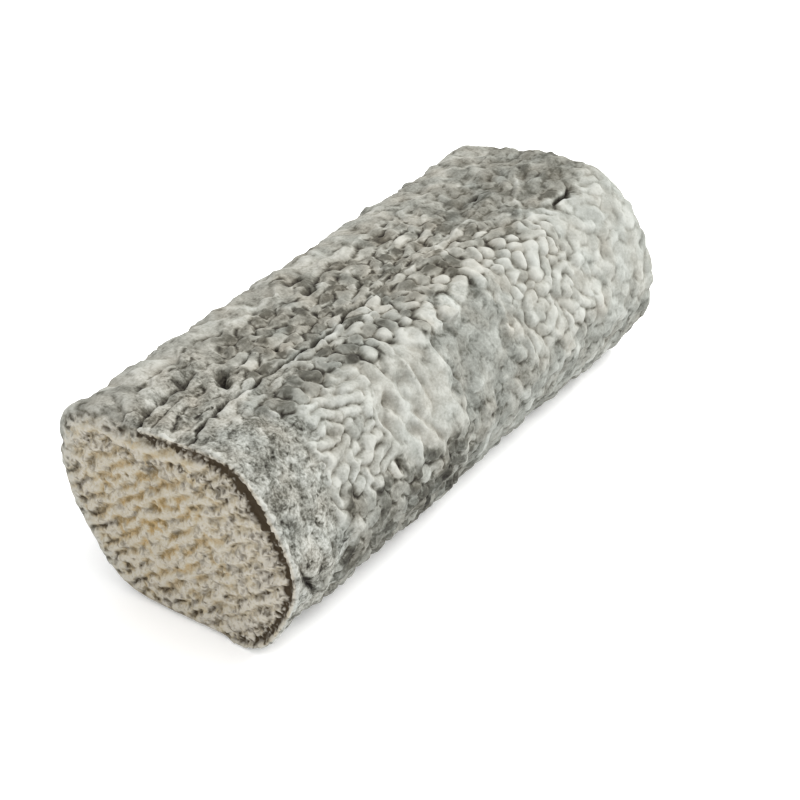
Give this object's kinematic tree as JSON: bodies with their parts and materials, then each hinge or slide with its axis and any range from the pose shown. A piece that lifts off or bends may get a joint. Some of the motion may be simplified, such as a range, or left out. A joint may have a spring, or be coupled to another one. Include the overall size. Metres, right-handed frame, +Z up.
{
  "type": "ash-coated goat cheese log",
  "caption": "Round log of ripened goat cheese with a knobbly ash and white mould rind, slumped soft flats along its sides and a draining mat's weave pressed into one end.",
  "frame": {"origin": "on the surface that the log rests on, under the middle of its bounding box", "axes": "+Y along the log from its mat-marked near end to its plain far end, +X across it to the right as seen from the near end, +Z up"},
  "size_m": [0.058, 0.14, 0.0454],
  "materials": {
    "rind": "matt, powdery grey and white mould over ash, with an ivory and tan mat-marked end"
  },
  "bodies": {
    "root": {"cheese_log": "rind"}
  },
  "joints": []
}
